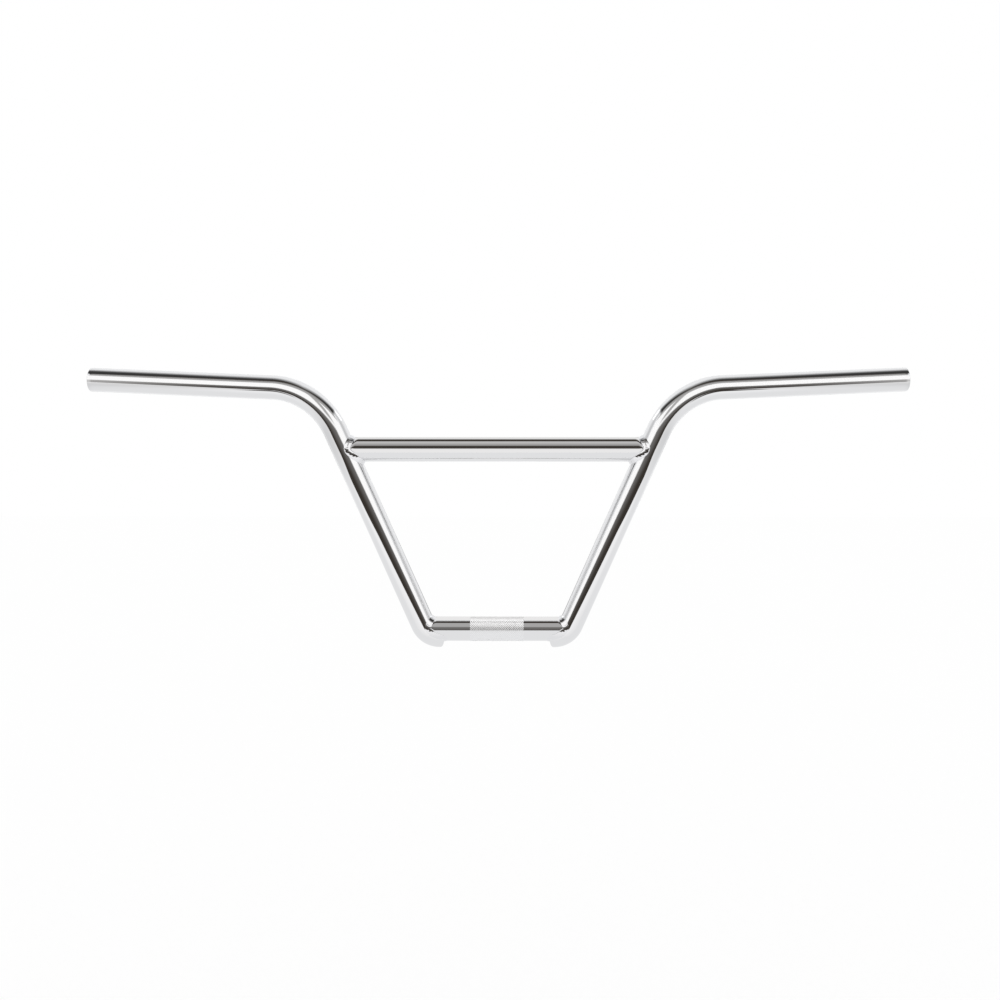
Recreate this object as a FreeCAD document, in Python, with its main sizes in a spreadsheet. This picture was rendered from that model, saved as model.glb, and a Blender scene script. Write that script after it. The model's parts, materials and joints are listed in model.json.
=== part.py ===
import FreeCAD, Part
import os
import Sketcher
from math import cos, radians, sin
from FreeCAD import Placement, Rotation, Vector

# A four-piece BMX handlebar: two bent side tubes, a crossbar and a knurled clamp tube, welded up.
# Millimetres and degrees. The origin is the middle of the clamp tube, +X runs to the right as seen
# from the front, +Z is up, and the grips sweep back towards +Y. Left and right are as seen from the front.

SIZES = {
    "bar_width": 762.0,          # between the centres of the two grip ends
    "rise": 228.6,               # clamp tube axis up to the centre of a grip end
    "backsweep": 12.0,           # grip turned back, seen from above
    "upsweep": 2.0,              # grip tilted up towards its end
    "leg_spacing": 133.0,        # between the leg axes, at the height of the clamp tube axis
    "leg_angle": 23.9,           # leg leaning outwards from the vertical
    "bend_radius": 66.6,         # centreline of the bend between leg and grip
    "tube_diameter": 22.2,       # side tubes, which take 22.2 mm grips and levers
    "side_wall": 1.1,
    "crossbar_height": 166.0,    # crossbar axis above the clamp tube axis
    "crossbar_diameter": 22.2,
    "crossbar_wall": 0.9,
    "clamp_diameter": 22.2,      # clamp tube, which takes a 22.2 mm stem
    "clamp_wall": 1.8,
    "knurl_length": 50.0,
    "knurl_height": 0.1,         # knurl raised above the clamp tube
    "foot_drop": 5.9,            # foot axis below the clamp tube axis
    "foot_radius": 16.9,         # centreline of the bend between leg and foot
    "foot_length": 5.7,          # straight run of the foot past its bend, along its axis
    "foot_width": 17.0,          # foot pinched front to back at its tip
    "cope_gap": 0.2,             # root gap between a coped end and the side tube
    "weld_reach": 2.6,           # weld bead's width along the coped tube
    "weld_height": 1.6,          # weld bead's height above the coped tube
    "weld_fit": 0.05,            # weld bead clear of the coped tube
    "weld_stop": 2.0,            # weld bead ends this far short of the leg axis
}

# Worked-out places. Lengths along a leg are measured upwards from the clamp tube axis.
FORMULAS = {
    "half_spacing": "Sizes.leg_spacing / 2",
    "grip_out": "cos(Sizes.backsweep) * cos(Sizes.upsweep)",
    "grip_back": "sin(Sizes.backsweep) * cos(Sizes.upsweep)",
    "grip_up": "sin(Sizes.upsweep)",
    "leg_across": "sin(Sizes.leg_angle)",
    "leg_up": "cos(Sizes.leg_angle)",
    "grip_slope": "Worked.grip_up / Worked.grip_out",
    "leg_slope": "tan(Sizes.leg_angle)",
    "grip_reach": "Sizes.bar_width / 2 - Worked.half_spacing",
    "corner_height": "(Sizes.rise - Worked.grip_reach * Worked.grip_slope)"
                     " / (1 - Worked.leg_slope * Worked.grip_slope)",
    "bend_turn": "acos(Worked.leg_across * Worked.grip_out + Worked.leg_up * Worked.grip_up)",
    "bend_roll": "atan2(Worked.grip_back; Worked.leg_up * Worked.grip_out - Worked.leg_across * Worked.grip_up)",
    "bend_across": "Sizes.bend_radius * (1 - cos(Worked.bend_turn))",
    "bend_tangent": "Sizes.bend_radius * tan(Worked.bend_turn / 2)",
    "bend_start": "Worked.corner_height / Worked.leg_up - Worked.bend_tangent",
    "bend_end": "Worked.bend_start + Sizes.bend_radius * sin(Worked.bend_turn)",
    "grip_length": "(Worked.grip_reach - Worked.corner_height * Worked.leg_slope) / Worked.grip_out"
                   " - Worked.bend_tangent",
    "foot_turn": "90 - Sizes.leg_angle",
    "foot_tangent": "Sizes.foot_radius * tan(Worked.foot_turn / 2)",
    "foot_start": "Worked.foot_tangent - Sizes.foot_drop / Worked.leg_up",
    "heel_turn": "Worked.foot_turn / 2",
    "heel_across": "Sizes.foot_radius * (1 - cos(Worked.heel_turn))",
    "heel_down": "Sizes.foot_radius * sin(Worked.heel_turn)",
    "foot_reach": "Sizes.foot_length + Sizes.foot_drop * Worked.leg_slope + Worked.foot_tangent",
    "crossbar_half": "Worked.half_spacing + Sizes.crossbar_height * Worked.leg_slope",
}

QUARTER_TURN = 90.0
LEFT, RIGHT = -1, 1
SIDES = {"left": LEFT, "right": RIGHT}

doc = FreeCAD.newDocument("bmx_handlebar")


def add_sheet(name, cells):
    sheet = doc.addObject("Spreadsheet::Sheet", name)
    for row, (alias, content) in enumerate(cells.items(), 1):
        sheet.set(f"A{row}", alias)
        sheet.set(f"B{row}", content)
        sheet.setAlias(f"B{row}", alias)
    return sheet


sizes = add_sheet("Sizes", {alias: str(value) for alias, value in SIZES.items()})
worked = add_sheet("Worked", {alias: "=" + formula for alias, formula in FORMULAS.items()})
doc.recompute()


def number(alias):
    holder = sizes if alias in SIZES else worked
    cell = holder.get(alias)
    return getattr(cell, "Value", cell)


def origin_plane(body, role):
    return next(feature for feature in body.Origin.OriginFeatures if feature.Role == role)


def add_sketch(body, name, role):
    sketch = body.newObject("Sketcher::SketchObject", name)
    sketch.AttachmentSupport = (origin_plane(body, role), [""])
    sketch.MapMode = "FlatFace"
    return sketch


def shift_sketch(sketch, **base):
    for axis, formula in base.items():
        sketch.setExpression(f".AttachmentOffset.Base.{axis}", formula)


def turn_sketch(sketch, axis, formula, **axis_formulas):
    start_angle = 1.0
    sketch.AttachmentOffset = Placement(Vector(), Rotation(axis, start_angle))
    for letter, axis_formula in axis_formulas.items():
        sketch.setExpression(f".AttachmentOffset.Rotation.Axis.{letter}", axis_formula)
    sketch.setExpression(".AttachmentOffset.Rotation.Angle", formula)


def bind(sketch, constraint, formula):
    index = sketch.addConstraint(constraint)
    sketch.setExpression(f"Constraints[{index}]", formula)


def draw_circle(sketch, diameter):
    start_radius = number("tube_diameter") / 2
    circle = sketch.addGeometry(Part.Circle(Vector(), Vector(0, 0, 1), start_radius))
    sketch.addConstraint(Sketcher.Constraint("Coincident", circle, 3, -1, 1))
    bind(sketch, Sketcher.Constraint("Diameter", circle, 2 * start_radius), diameter)


def draw_oval(sketch, width, height, side):
    # The long axis stands upright, and it starts at the side of the tube where a circle starts.
    start_high = number("tube_diameter") / 2
    start_wide = number("foot_width") / 2
    high_end = Vector(0, -side * start_high, 0)
    wide_end = Vector(side * start_wide, 0, 0)
    oval = sketch.addGeometry(Part.Ellipse(high_end, wide_end, Vector()))
    sketch.exposeInternalGeometry(oval)
    long_axis, short_axis = oval + 1, oval + 2
    sketch.addConstraint(Sketcher.Constraint("Coincident", oval, 3, -1, 1))
    sketch.addConstraint(Sketcher.Constraint("Vertical", long_axis))
    bind(sketch, Sketcher.Constraint("Distance", long_axis, 2 * start_high), height)
    bind(sketch, Sketcher.Constraint("Distance", short_axis, 2 * start_wide), width)


def draw_bend(sketch, across, upwards, radius, turn, run=None):
    # An arc that leaves the sketch's origin along its upright axis and turns towards across, and then
    # a straight run where one is given.
    start_radius = number("bend_radius")
    start_turn = radians(number("bend_turn") / 2)
    heading = 1 if upwards else -1
    leave = 180.0 if across > 0 else 0.0
    counterclockwise = across * heading < 0
    first = radians(leave) if counterclockwise else radians(leave) - start_turn
    circle = Part.Circle(Vector(across * start_radius, 0, 0), Vector(0, 0, 1), start_radius)
    arc = sketch.addGeometry(Part.ArcOfCircle(circle, first, first + start_turn))
    near_end, far_end = (1, 2) if counterclockwise else (2, 1)
    sketch.addConstraint(Sketcher.Constraint("Coincident", arc, near_end, -1, 1))
    sketch.addConstraint(Sketcher.Constraint("PointOnObject", arc, 3, -1))
    bind(sketch, Sketcher.Constraint("Radius", arc, start_radius), radius)
    bind(sketch, Sketcher.Constraint("Angle", arc, start_turn), turn)
    if run is None:
        return
    direction = Vector(across * sin(start_turn), heading * cos(start_turn), 0)
    corner = Vector(across * start_radius * (1 - cos(start_turn)), heading * start_radius * sin(start_turn), 0)
    line = sketch.addGeometry(Part.LineSegment(corner, corner + direction * start_radius))
    sketch.addConstraint(Sketcher.Constraint("Tangent", arc, far_end, line, 1))
    bind(sketch, Sketcher.Constraint("Distance", line, start_radius), run)


def add_pad(body, name, section, length, symmetric=False):
    pad = body.newObject("PartDesign::Pad", name)
    pad.Profile = section
    if symmetric:
        pad.SideType = "Symmetric"
    pad.setExpression("Length", length)
    doc.recompute()


def add_pipe(body, name, first_section, path, last_section):
    pipe = body.newObject("PartDesign::AdditivePipe", name)
    pipe.Profile = first_section
    pipe.Spine = (path, [f"Edge{index + 1}" for index in range(len(path.Shape.Edges))])
    pipe.Transformation = "Multisection"
    pipe.Sections = [(last_section, [""])]
    doc.recompute()


def side_tube(name, side, clearance="0", bore=True):
    # One bent tube in its leg's own frame: the leg runs up the Z axis from the clamp tube axis, the
    # grip bends out and back from it, and the foot turns in under the clamp tube. The foot's bend is
    # round to half of its turn, the heel, and then pinched front to back out to its tip, the toe.
    # A clearance all round and no bore give the tool that copes the tubes welded to it.
    outside = f"Sizes.tube_diameter + 2 * {clearance}"
    inside = "Sizes.tube_diameter - 2 * Sizes.side_wall"
    pinched = f"Sizes.foot_width + 2 * {clearance}"
    pinched_inside = "Sizes.foot_width - 2 * Sizes.side_wall"
    body = doc.addObject("PartDesign::Body", name)
    body.Label = name
    body.Placement = Placement(Vector(), Rotation(Vector(0, side, 0), number("leg_angle")))
    body.setExpression(".Placement.Base.x", f"{side} * Worked.half_spacing")
    body.setExpression(".Placement.Rotation.Angle", "Sizes.leg_angle")

    leg_section = add_sketch(body, name + "_leg_section", "XY_Plane")
    shift_sketch(leg_section, z="Worked.foot_start")
    bend_section = add_sketch(body, name + "_bend_section", "XY_Plane")
    shift_sketch(bend_section, z="Worked.bend_start")
    grip_section = add_sketch(body, name + "_grip_section", "XY_Plane")
    turn_sketch(grip_section, Vector(0, side, 0), "Worked.bend_turn", x="-sin(Worked.bend_roll)",
                y=f"{side} * cos(Worked.bend_roll)")
    shift_sketch(grip_section, x=f"{side} * Worked.bend_across * cos(Worked.bend_roll)",
                 y="Worked.bend_across * sin(Worked.bend_roll)", z="Worked.bend_end")
    toe_section = add_sketch(body, name + "_toe_section", "XY_Plane")
    turn_sketch(toe_section, Vector(0, side, 0), "Worked.heel_turn")
    shift_sketch(toe_section, x=f"{-side} * Worked.heel_across", z="Worked.foot_start - Worked.heel_down")
    for section in (leg_section, bend_section, grip_section, toe_section):
        draw_circle(section, outside)
        if bore:
            draw_circle(section, inside)
    tip_section = add_sketch(body, name + "_tip_section", "YZ_Plane")
    turn_sketch(tip_section, Vector(-side, 0, 0), "Sizes.leg_angle")
    tip_reach = f"(Worked.foot_reach + {clearance})"
    shift_sketch(
        tip_section,
        y=f"-{tip_reach} * Worked.leg_across - Sizes.foot_drop * Worked.leg_up",
        z=f"{-side} * ({tip_reach} * Worked.leg_up - Sizes.foot_drop * Worked.leg_across)",
    )
    draw_oval(tip_section, pinched, outside, side)
    if bore:
        draw_oval(tip_section, pinched_inside, inside, side)

    bend_path = add_sketch(body, name + "_bend_path", "XZ_Plane")
    turn_sketch(bend_path, Vector(0, side, 0), "Worked.bend_roll")
    shift_sketch(bend_path, y="Worked.bend_start")
    draw_bend(bend_path, side, True, "Sizes.bend_radius", "Worked.bend_turn")
    heel_path = add_sketch(body, name + "_heel_path", "XZ_Plane")
    shift_sketch(heel_path, y="Worked.foot_start")
    draw_bend(heel_path, -side, False, "Sizes.foot_radius", "Worked.heel_turn")
    toe_path = add_sketch(body, name + "_toe_path", "XZ_Plane")
    turn_sketch(toe_path, Vector(0, 0, -side), "Worked.heel_turn")
    shift_sketch(toe_path, x=f"{-side} * Worked.heel_across", y="Worked.foot_start - Worked.heel_down")
    toe_run = f"Sizes.foot_length + {clearance}"
    draw_bend(toe_path, -side, False, "Sizes.foot_radius", "Worked.heel_turn", toe_run)
    doc.recompute()

    add_pad(body, name + "_leg", leg_section, "Worked.bend_start - Worked.foot_start")
    add_pipe(body, name + "_bend", bend_section, bend_path, grip_section)
    add_pad(body, name + "_grip", grip_section, "Worked.grip_length")
    add_pipe(body, name + "_heel", leg_section, heel_path, toe_section)
    add_pipe(body, name + "_toe", toe_section, toe_path, tip_section)
    return body


def straight_tube(name, diameter, wall, half_length):
    # A tube along X, centred on its body's origin.
    body = doc.addObject("PartDesign::Body", name)
    section = add_sketch(body, name + "_section", "YZ_Plane")
    draw_circle(section, diameter)
    draw_circle(section, f"{diameter} - 2 * {wall}")
    add_pad(body, name + "_tube", section, f"2 * {half_length}", symmetric=True)
    return body


def add_knurl_band(body):
    # The knurl's own fine teeth are left off: the band stands at the height of their crests.
    section = add_sketch(body, "knurl_section", "YZ_Plane")
    draw_circle(section, "Sizes.clamp_diameter + 2 * Sizes.knurl_height")
    draw_circle(section, "Sizes.clamp_diameter")
    add_pad(body, "knurl_band", section, "Sizes.knurl_length", symmetric=True)


def coped_tube(name, tube, cope_tools):
    # Both ends are cut to the side tubes' own outline, with a root gap for the weld.
    for cope_tool in cope_tools:
        cut = doc.addObject("Part::Cut", f"{tube.Name}_coped")
        cut.Base = tube
        cut.Tool = cope_tool
        doc.recompute()
        tube = cut
    tube.Label = name
    return tube


def weld_bead(name, side, skin, reach, height, diameter, stop):
    # Filler round a coped end: the space that lies near both tubes, less the metal of both.
    base = Placement(Vector(), Rotation(Vector(0, side, 0), QUARTER_TURN))
    solids = []
    for word, grown in (("crown", "Sizes.weld_height"), ("seat", "Sizes.weld_fit")):
        solid = doc.addObject("Part::Cylinder", f"{name}_{word}")
        solid.Placement = base
        solid.setExpression(".Placement.Base.z", height)
        solid.setExpression("Radius", f"{diameter} / 2 + {grown}")
        solid.setExpression("Height", stop)
        solids.append(solid)
    crown, seat = solids
    near_both = doc.addObject("Part::Common", f"{name}_near_both")
    near_both.Base = reach
    near_both.Tool = crown
    off_leg = doc.addObject("Part::Cut", f"{name}_off_leg")
    off_leg.Base = near_both
    off_leg.Tool = skin
    weld = doc.addObject("Part::Cut", name)
    weld.Base = off_leg
    weld.Tool = seat
    weld.Label = name
    doc.recompute()
    return weld


cope_tools = {
    word: side_tube(f"{word}_cope_tool", side, "Sizes.cope_gap", bore=False) for word, side in SIDES.items()
}
side_tubes = {word: side_tube(f"{word}_side_tube", side) for word, side in SIDES.items()}
crossbar_tube = straight_tube("crossbar_tube", "Sizes.crossbar_diameter", "Sizes.crossbar_wall",
                              "Worked.crossbar_half")
crossbar_tube.setExpression(".Placement.Base.z", "Sizes.crossbar_height")
clamp_body = straight_tube("clamp_body", "Sizes.clamp_diameter", "Sizes.clamp_wall", "Worked.half_spacing")
add_knurl_band(clamp_body)
crossbar = coped_tube("crossbar", crossbar_tube, cope_tools.values())
clamp_tube = coped_tube("clamp_tube", clamp_body, cope_tools.values())

welds = []
for word, side in SIDES.items():
    skin = side_tube(f"{word}_skin", side, bore=False)
    reach = side_tube(f"{word}_weld_reach", side, "Sizes.weld_reach", bore=False)
    welds.append(weld_bead(f"{word}_crossbar_weld", side, skin, reach, "Sizes.crossbar_height",
                           "Sizes.crossbar_diameter", "Worked.crossbar_half - Sizes.weld_stop"))
    welds.append(weld_bead(f"{word}_clamp_weld", side, skin, reach, "0",
                           "Sizes.clamp_diameter", "Worked.half_spacing - Sizes.weld_stop"))

pieces = list(side_tubes.values()) + [crossbar, clamp_tube] + welds
for item in doc.Objects:
    if "Invalid" in item.State or "Error" in item.State:
        raise RuntimeError(f"{item.Label} failed: {item.State}")
for piece in pieces:
    if piece.Shape.isNull() or not piece.Shape.isValid():
        raise RuntimeError(f"{piece.Label} has no valid shape")

os.makedirs("parts", exist_ok=True)
for piece in pieces:
    print(piece.Label, len(piece.Shape.Solids), round(piece.Shape.Volume, 1))
    piece.Shape.exportStep(f"parts/{piece.Label}.step")
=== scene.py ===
import json
from math import cos, degrees, pi, radians, sin, tan

import bpy
import numpy as np
from mathutils import Matrix, Vector


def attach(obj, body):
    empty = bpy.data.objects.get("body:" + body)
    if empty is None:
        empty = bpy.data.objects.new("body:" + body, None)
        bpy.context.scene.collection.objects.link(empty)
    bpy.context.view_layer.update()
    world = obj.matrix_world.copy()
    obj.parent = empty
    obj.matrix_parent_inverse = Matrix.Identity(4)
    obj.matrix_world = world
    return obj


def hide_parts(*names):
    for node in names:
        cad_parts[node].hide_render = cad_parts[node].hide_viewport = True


# The looks of a chromed BMX handlebar, in metres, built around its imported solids. +X is to the right
# as seen from the front, +Z is up, and the front faces -Y.
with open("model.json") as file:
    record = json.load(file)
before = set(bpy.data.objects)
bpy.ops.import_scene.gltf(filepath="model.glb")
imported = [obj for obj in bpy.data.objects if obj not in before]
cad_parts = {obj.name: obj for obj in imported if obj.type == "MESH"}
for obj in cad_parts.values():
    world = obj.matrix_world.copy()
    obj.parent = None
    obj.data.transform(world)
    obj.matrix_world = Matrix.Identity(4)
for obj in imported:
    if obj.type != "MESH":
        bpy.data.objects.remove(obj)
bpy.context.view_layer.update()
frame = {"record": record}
mounts = {mount["name"]: mount for mount in frame["record"]["mounts"]}
mm = 0.001
left, right = -1.0, 1.0
sideNames = {left: "left", right: "right"}
mirror = np.array([-1.0, 1.0, 1.0])


# Points, grids and lines.

def unit(vectors):
    vectors = np.asarray(vectors, float)
    return vectors / np.linalg.norm(vectors, axis=-1, keepdims=True)


def smooth(value):
    # The curve 3v squared less 2v cubed, with v held between 0 and 1.
    held = np.clip(value, 0.0, 1.0)
    return held * held * (3.0 - 2.0 * held)


def ring(count):
    return np.linspace(0.0, 2.0 * pi, count, endpoint=False)


def turned(vectors, axis, angles):
    # Each vector turned about a unit axis: v cos a + (axis x v) sin a + axis (axis . v)(1 - cos a).
    cosines = np.cos(angles)[:, None]
    sines = np.sin(angles)[:, None]
    along = (vectors @ axis)[..., None] * axis
    return vectors * cosines + np.cross(axis, vectors) * sines + along * (1.0 - cosines)


def gridFaces(rows, columns, closedRows, closedColumns):
    # One four-sided face for each cell of a grid of points, with the last row or column joined to the
    # first where the grid is closed that way.
    row = np.arange(rows if closedRows else rows - 1)[:, None]
    column = np.arange(columns if closedColumns else columns - 1)[None, :]
    nextRow = (row + 1) % rows
    nextColumn = (column + 1) % columns
    corners = (row * columns + column, row * columns + nextColumn,
               nextRow * columns + nextColumn, nextRow * columns + column)
    return np.stack(np.broadcast_arrays(*corners), -1).reshape(-1, 4)


def addMesh(name, points, faces, material):
    mesh = bpy.data.meshes.new(name)
    mesh.from_pydata(points.reshape(-1, 3).tolist(), [], faces.tolist())
    mesh.polygons.foreach_set("use_smooth", np.ones(len(mesh.polygons), bool))
    mesh.materials.append(material)
    mesh.update()
    thing = bpy.data.objects.new(name, mesh)
    bpy.context.scene.collection.objects.link(thing)
    return thing


def addPiece(name, grid, hand, material, nodes=()):
    # A piece of the object from a grid of points that closes both ways. Grids are worked out for the
    # right hand, and mirrored for the left. The faces are turned to hold a positive volume.
    points = grid * mirror if hand == left else grid
    faces = gridFaces(grid.shape[0], grid.shape[1], True, True)
    corners = points.reshape(-1, 3)[faces]
    volume = (np.cross(corners[:, 0], corners[:, 1]) * corners[:, 2]).sum()
    volume += (np.cross(corners[:, 0], corners[:, 2]) * corners[:, 3]).sum()
    piece = addMesh(name, points, faces if volume > 0.0 else faces[:, ::-1], material)
    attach(piece, "root")
    if nodes:
        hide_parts(*nodes)
    return piece


class Route:
    # A tube's centreline as rows of points, headings and across vectors, grown piece by piece. The
    # across vector turns with each bend, so a section never twists about the line.
    def __init__(self, start, heading, across):
        self.points = np.array([start], float)
        self.headings = np.array([unit(heading)])
        self.acrosses = np.array([unit(across)])

    def grow(self, points, headings, acrosses):
        self.points = np.vstack([self.points, points])
        self.headings = np.vstack([self.headings, headings])
        self.acrosses = np.vstack([self.acrosses, acrosses])
        return self

    def run(self, length, count):
        # Straight on: last point + heading x distance.
        distances = np.linspace(0.0, length, count + 1)[1:, None]
        points = self.points[-1] + self.headings[-1] * distances
        headings = np.repeat(self.headings[-1:], count, 0)
        return self.grow(points, headings, np.repeat(self.acrosses[-1:], count, 0))

    def bend(self, heading, radius, count):
        # A circular arc from the last heading to the given one: centre + radius x (the outward vector
        # turned by the angle).
        axis = unit(np.cross(self.headings[-1], heading))
        turn = np.arccos(self.headings[-1] @ unit(heading))
        angles = np.linspace(0.0, turn, count + 1)[1:]
        inward = np.cross(axis, self.headings[-1])
        centre = self.points[-1] + radius * inward
        points = centre + radius * turned(np.repeat(-inward[None], count, 0), axis, angles)
        headings = turned(np.repeat(self.headings[-1:], count, 0), axis, angles)
        return self.grow(points, headings, turned(np.repeat(self.acrosses[-1:], count, 0), axis, angles))

    def distances(self):
        gaps = np.linalg.norm(np.diff(self.points, axis=0), axis=1)
        return np.concatenate([[0.0], np.cumsum(gaps)])


def sweep(points, headings, acrosses, wide, high, angles):
    # Oval rings on a line: point + wide cos a x across + high sin a x (heading x across).
    uprights = np.cross(headings, acrosses)
    wide = np.broadcast_to(wide, (len(points),))[:, None, None]
    high = np.broadcast_to(high, (len(points),))[:, None, None]
    cosines = np.cos(angles)[None, :, None]
    sines = np.sin(angles)[None, :, None]
    return points[:, None] + wide * cosines * acrosses[:, None] + high * sines * uprights[:, None]


# Node materials.

class Socket:
    # One output of a shader node, with the plain operators made into Math nodes.
    def __init__(self, nodes, output):
        self.nodes = nodes
        self.output = output

    def math(self, operation, *values):
        return self.nodes.make("ShaderNodeMath", {"operation": operation}, *values)

    def __add__(self, other):
        return self.math("ADD", self, other)

    def __radd__(self, other):
        return self.math("ADD", other, self)

    def __sub__(self, other):
        return self.math("SUBTRACT", self, other)

    def __rsub__(self, other):
        return self.math("SUBTRACT", other, self)

    def __mul__(self, other):
        return self.math("MULTIPLY", self, other)

    def __neg__(self):
        return self.math("MULTIPLY", self, -1.0)

    def __abs__(self):
        return self.math("ABSOLUTE", self)


class Nodes:
    # The nodes of one material, or of the world.
    def __init__(self, tree):
        self.tree = tree
        tree.nodes.clear()

    def make(self, kind, settings, *values, output=0, **named):
        # One node: its settings first, and then its inputs, by place or by name.
        node = self.tree.nodes.new(kind)
        for key, value in settings.items():
            setattr(node, key, value)
        byName = [(key.replace("_", " "), value) for key, value in named.items()]
        for key, value in list(enumerate(values)) + byName:
            if isinstance(value, Socket):
                self.tree.links.new(value.output, node.inputs[key])
            else:
                node.inputs[key].default_value = value
        return Socket(self, node.outputs[output]) if node.outputs else None

    def place(self):
        return self.make("ShaderNodeTexCoord", {}, output="Object")

    def axes(self, letters):
        place = self.place()
        return [self.make("ShaderNodeSeparateXYZ", {}, place, output=letter) for letter in letters]

    def step(self, value, edge, softness):
        # 0 below the edge and 1 above it, with a soft change between.
        return self.make("ShaderNodeMapRange", {"interpolation_type": "SMOOTHSTEP"}, value,
                         edge - softness, edge + softness, 0.0, 1.0)

    def atLeast(self, value, least):
        return self.make("ShaderNodeMath", {"operation": "MAXIMUM"}, value, least)

    def mix(self, share, low, high):
        return low + share * (high - low)

    def tinted(self, level, tint):
        return self.make("ShaderNodeCombineColor", {}, *[level * part for part in tint])


def newMaterial(name):
    material = bpy.data.materials.new(name)
    material.use_nodes = True
    return material, Nodes(material.node_tree)


plating = {"patchDetail": 3.0, "grainDetail": 2.0}
chromeLook = {"tint": (0.80, 0.80, 0.805), "roughness": 0.02, "haze": 0.03,
              "patchScale": 18.0, "grainScale": 900.0}
knurlLook = {"tint": (0.86, 0.86, 0.865), "roughness": 0.28, "haze": 0.08,
             "patchScale": 60.0, "grainScale": 1500.0}
weldLook = {"tint": (0.79, 0.79, 0.80), "roughness": 0.06, "haze": 0.08,
            "patchScale": 160.0, "grainScale": 900.0}


def chromeMaterial(name, look):
    # Plated steel whose roughness comes and goes a little, in soft patches and in a fine grain.
    material, nodes = newMaterial(name)
    place = nodes.place()
    patches = nodes.make("ShaderNodeTexNoise", {}, place, Scale=look["patchScale"],
                         Detail=plating["patchDetail"])
    grain = nodes.make("ShaderNodeTexNoise", {}, place, Scale=look["grainScale"],
                       Detail=plating["grainDetail"])
    roughness = look["roughness"] + patches * grain * look["haze"]
    surface = nodes.make("ShaderNodeBsdfPrincipled", {}, Base_Color=(*look["tint"], 1.0), Metallic=1.0,
                         Roughness=roughness)
    nodes.make("ShaderNodeOutputMaterial", {}, surface)
    return material


chrome = chromeMaterial("chrome", chromeLook)
knurled = chromeMaterial("knurled", knurlLook)
weldMetal = chromeMaterial("weld", weldLook)

# The side tubes, each one bent tube with an open, rounded lip at both ends.

side = {
    "radius": mounts["right_grip_seat"]["dims"]["r_mm"] * mm,
    "bore": mounts["right_bar_end"]["dims"]["r_mm"] * mm,
    "legSpacing": 133.0 * mm,
    "legAngle": radians(23.9),
    "bendRadius": 66.6 * mm,
    "footRadius": 16.9 * mm,
    "footDrop": 5.9 * mm,
    "footLength": 4.2 * mm,
    "footWidth": 17.0 * mm,
    "tipStart": -9.0 * mm,
    "tipRound": 4.0 * mm,
    "lip": 0.35 * mm,
    "around": 144,
    "lipRows": 5,
    "footRows": 10,
    "heelRows": 60,
    "legRows": 80,
    "bendRows": 120,
    "gripRows": 40,
}
legHeading = np.array([sin(side["legAngle"]), 0.0, cos(side["legAngle"])])
gripMount = mounts["right_grip_seat"]
gripHeading = unit(gripMount["axis"])
gripLength = gripMount["dims"]["length_mm"] * mm
footTurn = radians(90.0) - side["legAngle"]


def sideRoute():
    # From the tip of the right foot, round the heel, up the leg, round the bend and out along the grip.
    tip = (side["legSpacing"] / 2 - side["footDrop"] * tan(side["legAngle"])
           - side["footRadius"] * tan(footTurn / 2) - side["footLength"])
    route = Route((tip, 0.0, -side["footDrop"]), (1.0, 0.0, 0.0), (0.0, 1.0, 0.0))
    route.run(side["footLength"], side["footRows"])
    route.bend(legHeading, side["footRadius"], side["heelRows"])
    gripStart = np.array(gripMount["pos_m"]) - gripHeading * gripLength / 2
    bendTurn = np.arccos(legHeading @ gripHeading)
    inward = unit(gripHeading - legHeading * (legHeading @ gripHeading))
    bendStart = (gripStart - legHeading * side["bendRadius"] * np.sin(bendTurn)
                 - inward * side["bendRadius"] * (1.0 - np.cos(bendTurn)))
    route.run(np.linalg.norm(bendStart - route.points[-1]), side["legRows"])
    route.bend(gripHeading, side["bendRadius"], side["bendRows"])
    return route.run(gripLength, side["gripRows"])


rightRoute = sideRoute()
footTip = rightRoute.points[0, 0]


def footWidths(outside):
    # Half widths front to back: full on the leg, narrowing from half of the heel's turn out to the tip.
    heelEnd = side["footLength"] + side["footRadius"] * footTurn / 2
    share = 1.0 - np.clip(rightRoute.distances() / heelEnd, 0.0, 1.0)
    return outside - share * (side["radius"] - side["footWidth"] / 2)


def lipRings(row, outward, outer, inner):
    # A rounded lip: two quarter circles, from the outside of the tube over to its bore.
    angles = np.linspace(0.0, pi / 2, side["lipRows"])
    lip = side["lip"]
    reach = np.concatenate([np.sin(angles), np.cos(angles)]) - 1.0
    points = rightRoute.points[row] + outward * rightRoute.headings[row] * (lip * reach)[:, None]
    headings = np.repeat(rightRoute.headings[row][None], len(points), 0)
    acrosses = np.repeat(rightRoute.acrosses[row][None], len(points), 0)
    outerRows = [half - lip * (1.0 - np.cos(angles)) for half in outer]
    innerRows = [half + lip * (1.0 - np.sin(angles)) for half in inner]
    wide, high = [np.concatenate(pair) for pair in zip(outerRows, innerRows)]
    return sweep(points, headings, acrosses, wide, high, ring(side["around"]))


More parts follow.
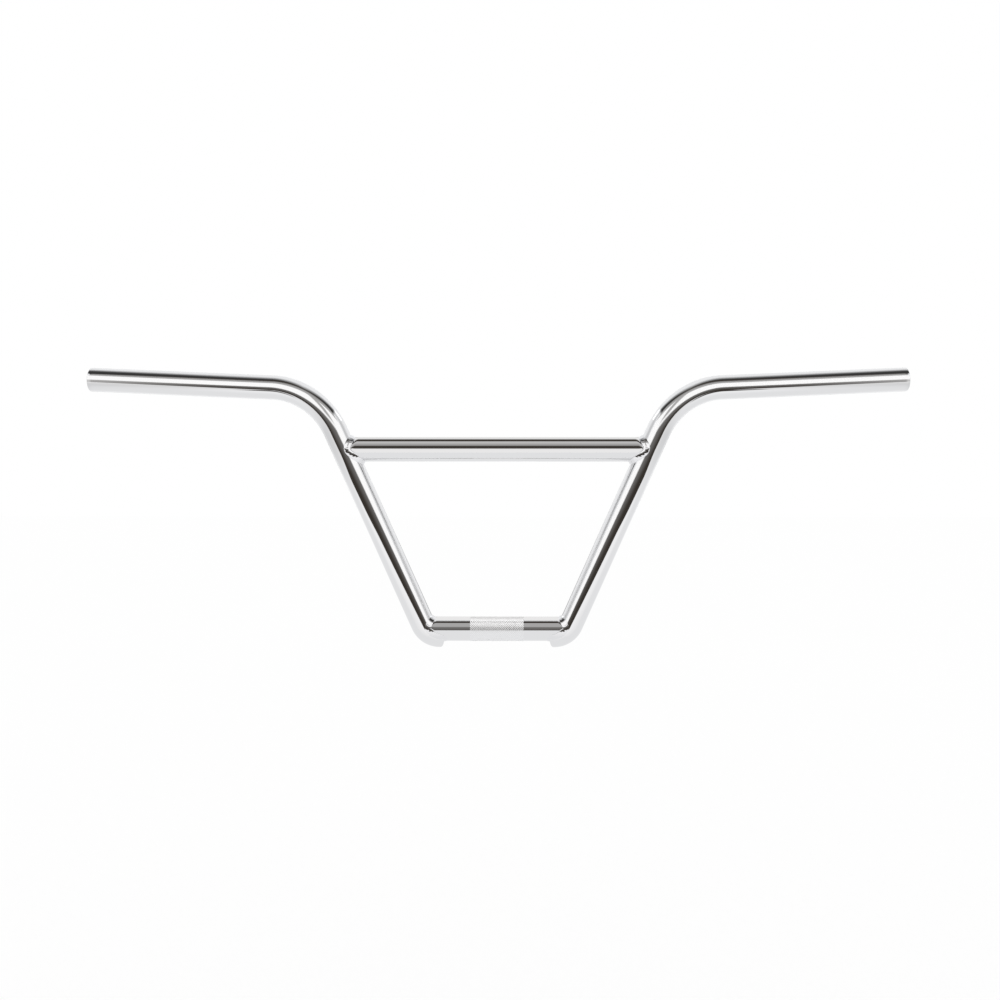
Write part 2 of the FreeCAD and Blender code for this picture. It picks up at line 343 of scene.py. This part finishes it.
def sideTube(hand):
    route = rightRoute
    angles = ring(side["around"])
    outerWide, innerWide = footWidths(side["radius"]), footWidths(side["bore"])
    outer = sweep(route.points, route.headings, route.acrosses, outerWide, side["radius"], angles)[1:-1]
    inner = sweep(route.points, route.headings, route.acrosses, innerWide, side["bore"], angles)[1:-1]
    gripLip = lipRings(-1, 1.0, (side["radius"], side["radius"]), (side["bore"], side["bore"]))
    tipLip = lipRings(0, -1.0, (outerWide[0], side["radius"]), (innerWide[0], side["bore"]))
    grid = np.concatenate([outer, gripLip, inner[::-1], tipLip[::-1]])
    # The tip's lower corner is rounded off: points draw back by a length x (1 - root(1 - depth
    # squared)), where the depth runs from 0 under the clamp tube to 1 at the bottom.
    tipDepth = side["tipStart"] + side["footDrop"] + side["radius"]
    depth = np.clip((side["tipStart"] - grid[..., 2]) / tipDepth, 0.0, 1.0)
    nearTip = 1.0 - smooth((grid[..., 0] - footTip) / side["footLength"])
    grid[..., 0] += side["tipRound"] * (1.0 - np.sqrt(1.0 - depth ** 2)) * nearTip
    word = sideNames[hand]
    return addPiece(word + "SideTube", grid, hand, chrome, [word + "_side_tube"])


handPieces = {hand: [sideTube(hand)] for hand in sideNames}
print("side tubes done")


def sideOffsets(points):
    # Each point's offset from the nearest place on the right tube's centreline, split into its parts
    # across and upright, with the half width there and those two directions.
    rows = slice(0, side["footRows"] + side["heelRows"] + side["legRows"])
    offsets = points[:, None] - rightRoute.points[None, rows]
    nearest = np.argmin((offsets ** 2).sum(-1), 1)
    offset = np.take_along_axis(offsets, nearest[:, None, None], 1)[:, 0]
    acrosses = rightRoute.acrosses[nearest]
    uprights = np.cross(rightRoute.headings[nearest], acrosses)
    wide = footWidths(side["radius"])[nearest]
    return (offset * acrosses).sum(-1), (offset * uprights).sum(-1), wide, acrosses, uprights


def insideSide(points, gap):
    # True within the right side tube grown by a gap: (across / wide) squared + (upright / high) squared
    # is less than 1.
    across, upright, wide = sideOffsets(points)[:3]
    return np.hypot(across / (wide + gap), upright / (side["radius"] + gap)) < 1.0


def sideNormals(points):
    # Outward from the right side tube: the slope of the oval (across / wide) squared + (upright / high)
    # squared, which is across / wide squared one way and upright / high squared the other.
    across, upright, wide, acrosses, uprights = sideOffsets(points)
    slopes = (across / wide ** 2)[:, None], (upright / side["radius"] ** 2)[:, None]
    return unit(slopes[0] * acrosses + slopes[1] * uprights)


# The crossbar and the clamp tube, coped to both side tubes.

cross = {"radius": 11.1 * mm, "bore": 10.2 * mm, "height": 166.0 * mm, "rootGap": 0.55 * mm,
         "around": 384, "along": 40}
clamp = {"radius": 11.1 * mm, "bore": 9.3 * mm, "height": 0.0, "rootGap": 0.2 * mm,
         "around": 384, "along": 24}
cope = {"places": 80, "halvings": 14}


def levelReach(tube, radius, angles):
    # How far each level line runs before it comes within the root gap of the side tube: found on a
    # coarse row of places, and then by halving the last gap.
    legAxis = side["legSpacing"] / 2 + (tube["height"] + radius) * tan(side["legAngle"])
    places = np.linspace(footTip, legAxis, cope["places"])
    y, z = radius * np.cos(angles), tube["height"] + radius * np.sin(angles)
    points = np.stack(np.broadcast_arrays(places[:, None], y[None], z[None]), -1)
    inside = insideSide(points.reshape(-1, 3), tube["rootGap"]).reshape(points.shape[:2])
    first = inside.argmax(0)
    far, near = places[first], places[np.maximum(first - 1, 0)]
    for halving in range(cope["halvings"]):
        middle = (near + far) / 2
        hit = insideSide(np.stack([middle, y, z], -1), tube["rootGap"])
        far = np.where(hit, middle, far)
        near = np.where(hit, near, middle)
    return near


def levelLines(tube, radius, angles):
    # Level lines at each angle round the tube, out to their reach on both sides.
    x = np.linspace(-1.0, 1.0, tube["along"])[:, None] * levelReach(tube, radius, angles)[None, :]
    y = np.broadcast_to(radius * np.cos(angles), x.shape)
    z = np.broadcast_to(tube["height"] + radius * np.sin(angles), x.shape)
    return np.stack([x, y, z], -1)


def levelTube(name, tube, node):
    # The outside and the bore, joined at both ends.
    angles = ring(tube["around"])
    outside, inside = [levelLines(tube, tube[key], angles) for key in ("radius", "bore")]
    return addPiece(name, np.concatenate([outside, inside[::-1]]), right, chrome, [node])


crossbar = levelTube("crossbar", cross, "crossbar")
clampTube = levelTube("clampTube", clamp, "clamp_tube")
print("crossbar and clamp tube done")

# The knurled band, where the stem grips the clamp tube.

knurl = {"crest": mounts["stem_clamp"]["dims"]["r_mm"] * mm, "depth": 0.20 * mm, "sink": 0.3 * mm,
         "length": mounts["stem_clamp"]["dims"]["length_mm"] * mm, "ends": 0.5 * mm, "pitch": 0.9 * mm,
         "rounds": 76, "samples": 4}


def saw(value):
    # 0 at each whole number and 1 halfway between.
    return 1.0 - np.abs(2.0 * (value - np.floor(value)) - 1.0)


def knurlBand():
    # Two crossing sets of slanted grooves leave rows of diamonds: the crest less a depth that is full in
    # the nearer groove. Both ends run down under the tube's skin, where the band closes.
    half = knurl["length"] / 2
    x = np.linspace(-half, half, int(knurl["length"] / knurl["pitch"]) * knurl["samples"] + 1)[:, None]
    angles = ring(knurl["rounds"] * knurl["samples"])[None, :]
    along, around = x / knurl["pitch"], angles * knurl["rounds"] / (2.0 * pi)
    height = np.clip(2.0 * np.minimum(saw((along + around) / 2), saw((along - around) / 2)), 0.0, 1.0)
    crest = knurl["crest"] - knurl["depth"] * (1.0 - height)
    under = clamp["radius"] - knurl["sink"]
    radius = under + (crest - under) * smooth((half - np.abs(x)) / knurl["ends"])
    grid = np.stack(np.broadcast_arrays(x, radius * np.cos(angles), radius * np.sin(angles)), -1)
    return addPiece("knurlBand", grid, right, knurled)


knurlPiece = knurlBand()
print("knurl done")

# Weld beads, as rings that follow each coped end.

crossBead = {"reach": 3.0 * mm, "crown": 1.6 * mm, "ripple": 0.10 * mm, "pitch": 3.0 * mm}
clampBead = {"reach": 3.0 * mm, "crown": 0.6 * mm, "ripple": 0.08 * mm, "pitch": 2.8 * mm}
bead = {"lean": 0.9 * mm, "sink": 0.7 * mm, "tuck": 0.03 * mm, "pull": 1.2 * mm,
        "along": 480, "across": 15, "seamSteps": 1440, "rounding": 60}


def evened(points, count):
    # The same closed line with its points at even steps, and its length.
    closed = np.vstack([points, points[:1]])
    distances = np.concatenate([[0.0], np.cumsum(np.linalg.norm(np.diff(closed, axis=0), axis=1))])
    places = np.linspace(0.0, distances[-1], count, endpoint=False)
    line = np.stack([np.interp(places, distances, closed[:, axis]) for axis in range(3)], -1)
    return line, distances[-1]


def rounded(points, times):
    # Each point averaged with its two neighbours, over and over.
    for again in range(times):
        points = (np.roll(points, 1, 0) + 2.0 * points + np.roll(points, -1, 0)) / 4.0
    return points


def tubeSkin(points, tube):
    # Points moved straight in or out to just under a level tube's skin.
    middle = points * np.array([1.0, 0.0, 0.0]) + np.array([0.0, 0.0, tube["height"]])
    return middle + unit(points - middle) * (tube["radius"] - bead["tuck"])


def sideSkin(points):
    # Points moved in or out to just under the right side tube's skin, by no more than the pull.
    across, upright, wide, acrosses, uprights = sideOffsets(points)
    offset = across[:, None] * acrosses + upright[:, None] * uprights
    far = np.linalg.norm(offset, axis=-1)
    shift = far / np.hypot(across / wide, upright / side["radius"]) - bead["tuck"] - far
    return points + unit(offset) * np.clip(shift, -bead["pull"], bead["pull"])[:, None]


def weldBead(name, node, tube, size, hand):
    # A fillet along the seam: a curve from the level tube's skin to the side tube's, drawn towards the
    # seam raised by a crown: first (1 - t) squared + middle 2t (1 - t) + last t squared. Leaning ripples
    # fade at its edges by 4t (1 - t), and its back lies under both skins.
    angles = ring(bead["seamSteps"])
    seam = np.stack([levelReach(tube, tube["radius"], angles), tube["radius"] * np.cos(angles),
                     tube["height"] + tube["radius"] * np.sin(angles)], -1)
    line, length = evened(seam, bead["along"])
    line = rounded(line, bead["rounding"])
    heading = unit(np.roll(line, -1, 0) - np.roll(line, 1, 0))
    tubeNormals = unit(line * np.array([0.0, 1.0, 1.0]) - np.array([0.0, 0.0, tube["height"]]))
    normals = sideNormals(line)
    outward = unit(rounded(unit(tubeNormals + normals), bead["rounding"]))
    onTube, onSide = np.cross(heading, tubeNormals), -np.cross(heading, normals)
    sense = -np.sign(onTube[:, 0].mean())
    first = tubeSkin(line + onTube * sense * size["reach"], tube)[:, None]
    last = rounded(sideSkin(line + onSide * sense * size["reach"]), bead["rounding"])[:, None]
    middle = (line + outward * size["crown"])[:, None]
    share = np.linspace(0.0, 1.0, bead["across"])[None, :, None]
    curve = first * (1.0 - share) ** 2 + middle * 2.0 * share * (1.0 - share) + last * share ** 2
    places = np.linspace(0.0, length, bead["along"], endpoint=False)[:, None, None]
    waves = saw((places - bead["lean"] * np.sin(pi * share)) * round(length / size["pitch"]) / length)
    curve = curve + outward[:, None] * size["ripple"] * np.sqrt(waves) * 4.0 * share * (1.0 - share)
    grid = np.concatenate([curve, curve[:, ::-1] - outward[:, None] * bead["sink"]], 1)
    return addPiece(name, grid, hand, weldMetal, [node])


for hand, word in sideNames.items():
    handPieces[hand] += [
        weldBead(word + "CrossbarWeld", word + "_crossbar_weld", cross, crossBead, hand),
        weldBead(word + "ClampWeld", word + "_clamp_weld", clamp, clampBead, hand),
    ]
print("welds done")

# The studio: a white floor in a white room, and cards that only show in the chrome.

studio = {"floor": -0.40, "halfWidth": 5.0, "white": 0.994, "cloudScale": 1.5, "cloud": 0.004,
          "dark": (0.006, 0.005, 0.004), "greenDrop": 0.006, "blueDrop": 0.011}
tent = {"front": -0.62, "back": 1.10, "halfWidth": 1.25, "table": -0.042, "roof": 1.0, "wallTop": 1.5,
        "apart": 0.002, "roundEnd": 179.0, "roundRows": 60}
pale = (0.985, 0.99, 1.0)


def warmWhite(nodes, level):
    # White that turns a little brown as it gets dark.
    parts = level, level - studio["greenDrop"], level - studio["blueDrop"]
    return nodes.make("ShaderNodeCombineColor", {}, *parts)


def flatSheet(x, y, z):
    # A flat sheet: two of the axes are given as pairs of ends, and the third as one value.
    spans = [np.atleast_1d(np.asarray(span, float)) for span in (x, y, z)]
    return np.stack(np.meshgrid(*spans, indexing="ij"), -1).reshape(2, 2, 3)


def addFloor():
    half = studio["halfWidth"]
    material, nodes = newMaterial("floor")
    cloud = nodes.make("ShaderNodeTexNoise", {}, nodes.place(), Scale=studio["cloudScale"])
    shade = studio["white"] + (cloud - 0.5) * studio["cloud"]
    surface = nodes.make("ShaderNodeBsdfDiffuse", {}, nodes.tinted(shade, (1.0, 1.0, 1.0)))
    nodes.make("ShaderNodeOutputMaterial", {}, surface)
    floor = addMesh("floor", flatSheet((-half, half), (-half, half), studio["floor"]),
                    gridFaces(2, 2, False, False), material)
    floor.visible_glossy = False  # the table cards stand for it there


def addWorld():
    # White to look at, with even white light on the floor, but a dark room for the chrome to look into.
    world = bpy.data.worlds.new("studio")
    world.use_nodes = True
    bpy.context.scene.world = world
    nodes = Nodes(world.node_tree)
    glossy = nodes.make("ShaderNodeLightPath", {}, output="Is Glossy Ray")
    parts = [1.0 - glossy * (1.0 - part) for part in studio["dark"]]
    colour = nodes.make("ShaderNodeCombineColor", {}, *parts)
    nodes.make("ShaderNodeOutputWorld", {}, nodes.make("ShaderNodeBackground", {}, colour, 1.0))


def cardMaterial(name, shade):
    # Light given off by a sheet that lets what is behind it show through as well.
    material, nodes = newMaterial(name)
    material.cycles.emission_sampling = "NONE"
    light = nodes.make("ShaderNodeEmission", {}, shade(nodes), 1.0)
    clear = nodes.make("ShaderNodeBsdfTransparent", {})
    nodes.make("ShaderNodeOutputMaterial", {}, nodes.make("ShaderNodeAddShader", {}, light, clear))
    return material


def addCard(name, grid, shade, lit=(), unlit=()):
    # A card that only reflections see. With lit it shows in those pieces alone, and with unlit in all
    # the others.
    faces = gridFaces(grid.shape[0], grid.shape[1], False, False)
    card = addMesh(name, grid, faces, cardMaterial(name, shade))
    for rays in ("camera", "diffuse", "shadow", "transmission", "volume_scatter"):
        setattr(card, "visible_" + rays, False)
    group = bpy.data.collections.new(name + "Receivers")
    for piece in (*lit, *unlit):
        group.objects.link(piece)
    for link in group.collection_objects:
        link.light_linking.link_state = "EXCLUDE" if unlit else "INCLUDE"
    card.light_linking.receiver_collection = group


curtain = {
    "low": -0.5, "high": 4.0, "foot": 0.27, "footSlope": 0.25, "footSoft": 0.05, "panelLevel": 1.2,
    "centreSide": 0.10, "centreFoot": 0.36, "centreSoft": 0.05, "centreDrop": 0.72,
    "top": 0.80, "topSoft": 0.05, "topRise": 0.15, "topGlow": 0.48, "glowReach": 0.55,
    "openLow": 0.04, "openHigh": 0.17, "openEdge": 0.10, "openSoft": 0.12,
    "openFar": 0.6, "farSide": 0.85, "farSoft": 0.2, "farLow": -0.12, "farLowSoft": 0.04,
}


def curtainShade(hand):
    # For the tubes of one hand: a white panel above a dark opening for the camera. Its foot drops
    # towards the other hand, its middle is grey, and the light fades out above its top. The opening is
    # darkest low down, and pales far out on its own side.
    def shade(nodes):
        x, z = nodes.axes("XZ")
        out = abs(x)
        inward = x * -hand
        higher = nodes.step(z, curtain["openEdge"], curtain["openSoft"])
        far = nodes.step(-inward, curtain["farSide"], curtain["farSoft"])
        far = far * nodes.step(z, curtain["farLow"], curtain["farLowSoft"])
        opening = nodes.mix(higher, curtain["openLow"], curtain["openHigh"]) + far * curtain["openFar"]
        foot = curtain["foot"] - nodes.atLeast(inward, 0.0) * curtain["footSlope"]
        outer = nodes.step(out, curtain["centreSide"], curtain["centreSoft"])
        centre = nodes.step(z, curtain["centreFoot"], curtain["centreSoft"]) * (1.0 - outer)
        panel = curtain["panelLevel"] - centre * curtain["centreDrop"]
        panels = nodes.mix(nodes.step(z - foot, 0.0, curtain["footSoft"]), opening, panel)
        aboveTop = z - out * out * curtain["topRise"] - curtain["top"]
        reach = curtain["glowReach"]
        glow = nodes.mix(nodes.step(aboveTop, reach, reach), curtain["topGlow"], 0.0)
        return warmWhite(nodes, nodes.mix(nodes.step(aboveTop, 0.0, curtain["topSoft"]), panels, glow))
    return shade


table = {
    "front": -0.40, "level": 0.93, "edgeSoft": 0.02, "sideFade": 0.06,
    "notch": 0.08, "notchFrom": 0.36, "notchSoft": 0.05,
    "wing": 0.22, "wingFrom": 0.53, "wingSoft": 0.04,
    "bright": 0.10, "brightFrom": 0.13, "brightSoft": 0.1, "brightOut": 0.45, "brightOutSoft": 0.06,
    "fade": 0.14, "fadeFrom": 0.55, "fadeSoft": 0.08,
    "behind": 0.10, "behindFrom": 0.30, "behindSoft": 0.12,
}


def tableShade(nodes):
    # For the level tubes: a pale table that fades a little towards the sides.
    x = nodes.axes("X")[0]
    half = tent["halfWidth"] / 2
    fade = 1.0 - nodes.step(abs(x), half, half) * table["sideFade"]
    return nodes.tinted(fade * table["level"], pale)


def sideTableShade(nodes):
    # For the side tubes: a pale table whose front edge steps back and then forward on the way out to its
    # wings. It is brighter near the front and far behind, and fades a little in the wings.
    x, y = nodes.axes("XY")
    out = abs(x)
    front = table["front"] + nodes.step(out, table["notchFrom"], table["notchSoft"]) * table["notch"]
    front = front - nodes.step(out, table["wingFrom"], table["wingSoft"]) * table["wing"]
    within = 1.0 - nodes.step(out, table["brightOut"], table["brightOutSoft"])
    near = nodes.step(-y, table["brightFrom"], table["brightSoft"]) * within
    level = table["level"] + near * table["bright"]
    level = level - nodes.step(out, table["fadeFrom"], table["fadeSoft"]) * table["fade"]
    level = level + nodes.step(y, table["behindFrom"], table["behindSoft"]) * table["behind"]
    return nodes.tinted(level * nodes.step(y - front, 0.0, table["edgeSoft"]), pale)


roofCard = {"front": -0.035, "slant": 0.55, "soft": 0.32, "level": 0.96, "dark": 0.04}


def roofShade(nodes):
    # White from a soft front edge that slants back towards the sides.
    x, y = nodes.axes("XY")
    share = nodes.step(y - abs(x) * roofCard["slant"], roofCard["front"], roofCard["soft"])
    return nodes.tinted(share * roofCard["level"] + roofCard["dark"], pale)


wall = {"front": 1.05, "middle": 0.68, "back": 0.98, "darkFrom": -0.38, "darkSoft": 0.16,
        "paleFrom": 0.40, "paleSoft": 0.4, "fadeFrom": 1.38, "fadeSoft": 0.10}


def wallShade(nodes):
    # White at the front, grey beside the object and white again behind it, fading out at the top.
    y, z = nodes.axes("YZ")
    nearer = nodes.mix(nodes.step(y, wall["darkFrom"], wall["darkSoft"]), wall["front"], wall["middle"])
    level = nodes.mix(nodes.step(y, wall["paleFrom"], wall["paleSoft"]), nearer, wall["back"])
    return nodes.tinted(level * (1.0 - nodes.step(z, wall["fadeFrom"], wall["fadeSoft"])), pale)


backCard = {"low": 0.30, "high": 1.0, "horizon": 0.12, "soft": 0.14}


def backShade(nodes):
    # White, with a grey horizon above the table.
    z = nodes.axes("Z")[0]
    share = nodes.step(z, backCard["horizon"], backCard["soft"])
    return nodes.tinted(nodes.mix(share, backCard["low"], backCard["high"]), pale)


# Cards curved about a level tube. Angles are in degrees, counted up from straight ahead.

crossCard = {"reach": 0.56, "start": -27.5, "bands": [
    {"level": 1.0},
    {"from": 10.0, "soft": 4.0, "level": 0.05},
    {"from": 38.0, "soft": 5.0, "level": 0.40},
    {"from": 58.0, "soft": 14.0, "level": 0.62},
    {"from": 85.0, "soft": 6.0, "level": 0.03},
    {"from": 116.0, "soft": 14.0, "level": 0.95},
    {"from": 170.0, "soft": 4.0, "level": 0.25},
]}
clampCard = {"reach": 0.54, "start": -6.0, "bands": [
    {"level": 0.13},
    {"from": 10.0, "soft": 10.0, "level": 0.20},
    {"from": 26.0, "soft": 5.0, "level": 0.47},
    {"from": 66.0, "soft": 3.0, "level": 0.02},
    {"from": 88.0, "soft": 9.0, "level": 1.0},
    {"from": 170.0, "soft": 4.0, "level": 0.25},
]}
knurlCard = {"reach": 0.52, "start": -6.0, "bands": [
    {"level": 0.9},
    {"from": 10.0, "soft": 5.0, "level": 0.45},
    {"from": 30.0, "soft": 8.0, "level": 1.1},
    {"from": 54.0, "soft": 10.0, "level": 1.9},
    {"from": 92.0, "soft": 6.0, "level": 0.75},
    {"from": 170.0, "soft": 4.0, "level": 0.6},
]}


def bandShade(height, bands):
    # Bands of light round a level tube: each band starts at its angle with a soft edge, and holds its
    # level up to the next.
    def shade(nodes):
        y, z = nodes.axes("YZ")
        turn = nodes.make("ShaderNodeMath", {"operation": "ARCTAN2"}, z - height, -y)
        angle = turn * degrees(1.0)
        total = bands[0]["level"]
        for before, band in zip(bands, bands[1:]):
            rise = band["level"] - before["level"]
            total = total + nodes.step(angle, band["from"], band["soft"]) * rise
        return warmWhite(nodes, total)
    return shade


def roundSheet(height, card):
    # Part of a drum about a level tube: -reach cos a in y and height + reach sin a in z.
    angles = np.radians(np.linspace(card["start"], tent["roundEnd"], tent["roundRows"]))[:, None]
    x = np.array([-tent["halfWidth"], tent["halfWidth"]])[None, :]
    y, z = -card["reach"] * np.cos(angles), height + card["reach"] * np.sin(angles)
    return np.stack(np.broadcast_arrays(x, y, z), -1)


def addCards():
    half, front, back = tent["halfWidth"], tent["front"], tent["back"]
    low, roof, apart = tent["table"], tent["roof"], tent["apart"]
    wide, deep = (-half, half), (front, back)
    levelTubes = [crossbar, clampTube, knurlPiece]
    addCard("tableCard", flatSheet(wide, (table["front"], back), low), tableShade, lit=levelTubes)
    addCard("sideTableCard", flatSheet(wide, deep, low - apart), sideTableShade, unlit=levelTubes)
    addCard("roofCard", flatSheet(wide, deep, roof), roofShade, unlit=levelTubes)
    addCard("backCard", flatSheet(wide, back, (low, roof)), backShade, unlit=levelTubes)
    for hand, word in sideNames.items():
        curtainSheet = flatSheet(wide, front - apart * hand, (curtain["low"], curtain["high"]))
        addCard(word + "CurtainCard", curtainSheet, curtainShade(hand), lit=handPieces[hand])
        wallSheet = flatSheet(hand * half, deep, (low, tent["wallTop"]))
        addCard(word + "WallCard", wallSheet, wallShade, unlit=levelTubes)
    for name, piece, height, card in (("crossbarCard", crossbar, cross["height"], crossCard),
                                      ("clampCard", clampTube, clamp["height"], clampCard),
                                      ("knurlCard", knurlPiece, clamp["height"], knurlCard)):
        addCard(name, roundSheet(height, card), bandShade(height, card["bands"]), lit=[piece])


addFloor()
addWorld()
addCards()
print("studio done")

# The camera, fitted to the photograph.

view = {"target": (0.0, 0.0, 0.105), "distance": 1.7, "azimuth": radians(0.7685),
        "elevation": radians(5.732), "roll": radians(-0.042), "sensor": 36.0, "lens": 66.66,
        "shift": (0.0031, 0.0157)}


def addCamera():
    data = bpy.data.cameras.new("camera")
    data.sensor_width = view["sensor"]
    data.lens = view["lens"]
    data.shift_x, data.shift_y = view["shift"]
    camera = bpy.data.objects.new("camera", data)
    bpy.context.scene.collection.objects.link(camera)
    azimuth, elevation = view["azimuth"], view["elevation"]
    away = Vector((sin(azimuth) * cos(elevation), -cos(azimuth) * cos(elevation), sin(elevation)))
    aim = away.to_track_quat("Z", "Y").to_matrix() @ Matrix.Rotation(view["roll"], 3, "Z")
    place = Vector(view["target"]) + away * view["distance"]
    camera.matrix_world = Matrix.Translation(place) @ aim.to_4x4()
    bpy.context.scene.camera = camera


addCamera()
bpy.context.scene.view_settings.view_transform = "Standard"
